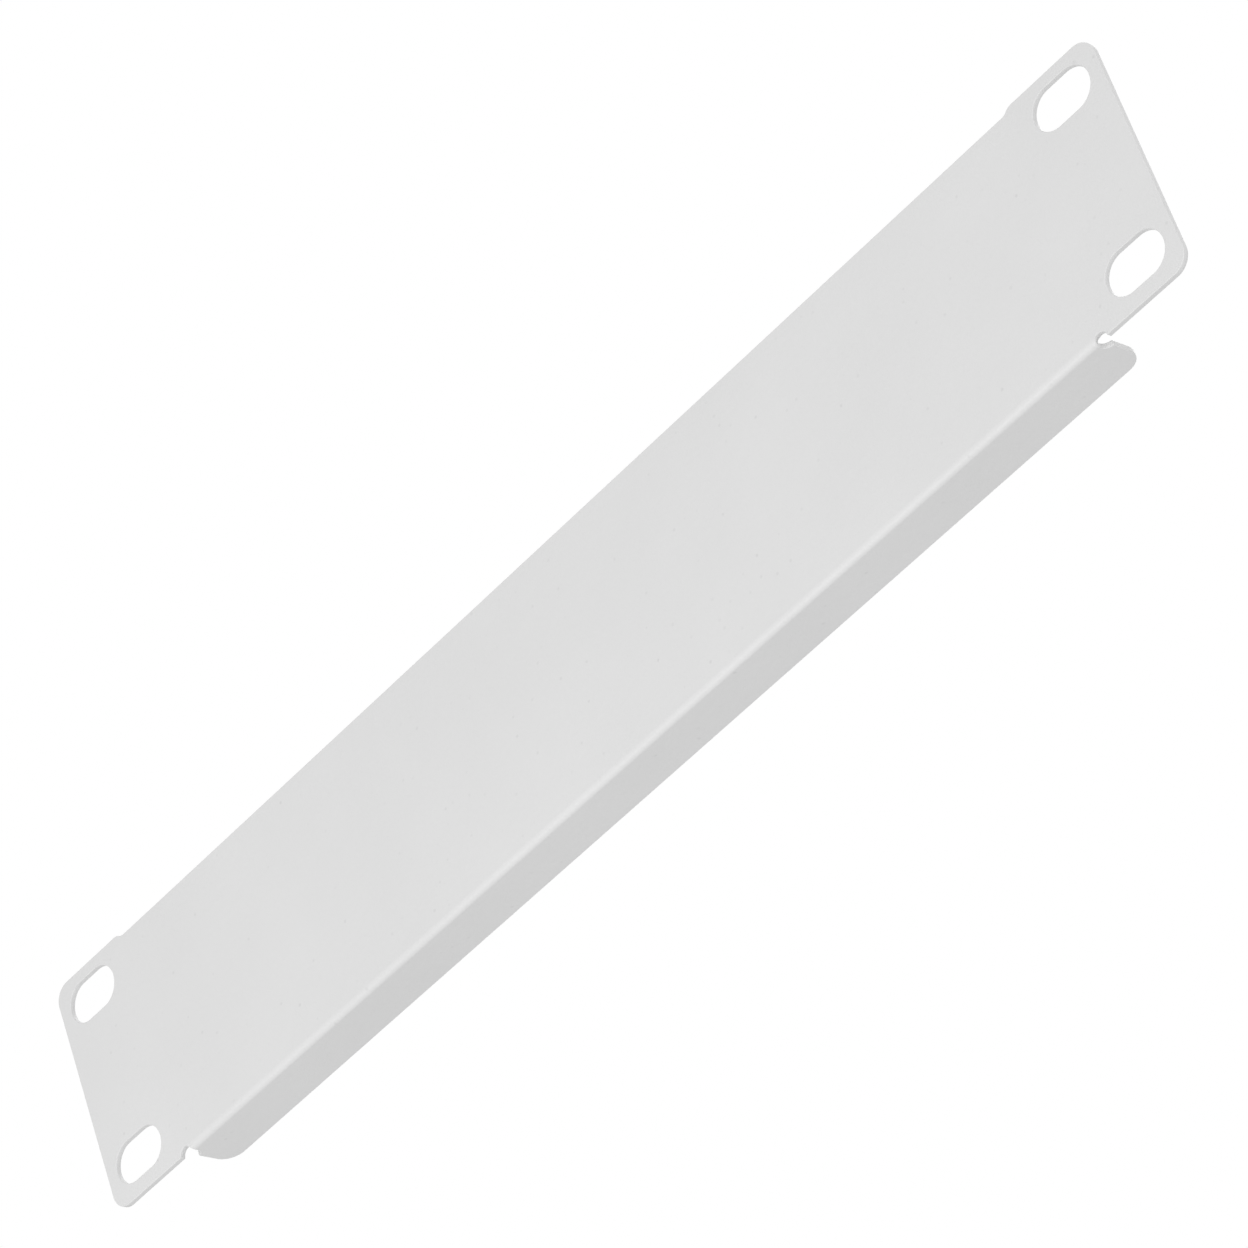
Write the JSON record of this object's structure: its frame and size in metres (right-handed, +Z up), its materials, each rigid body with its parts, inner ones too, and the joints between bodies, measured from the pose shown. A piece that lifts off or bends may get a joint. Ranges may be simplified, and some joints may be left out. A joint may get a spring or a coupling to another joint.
{
  "type": "rack blanking panel",
  "caption": "Flat sheet-metal cover for an empty space in a ten-inch rack, with slotted ears and a shallow flange folded back along its lower edge",
  "frame": {"origin": "the middle of the four slots, on the rear face of the ears, where the panel lies against the rack's rails", "axes": "X along the width, Z up, +Y back into the rack; the front face looks towards -Y and the flange goes back along +Y at the bottom"},
  "size_m": [0.253, 0.0099, 0.044],
  "materials": {
    "coated_sheet": "light grey powder coat, satin with a fine texture"
  },
  "bodies": {
    "root": {"blanking_panel": "coated_sheet"}
  },
  "joints": []
}
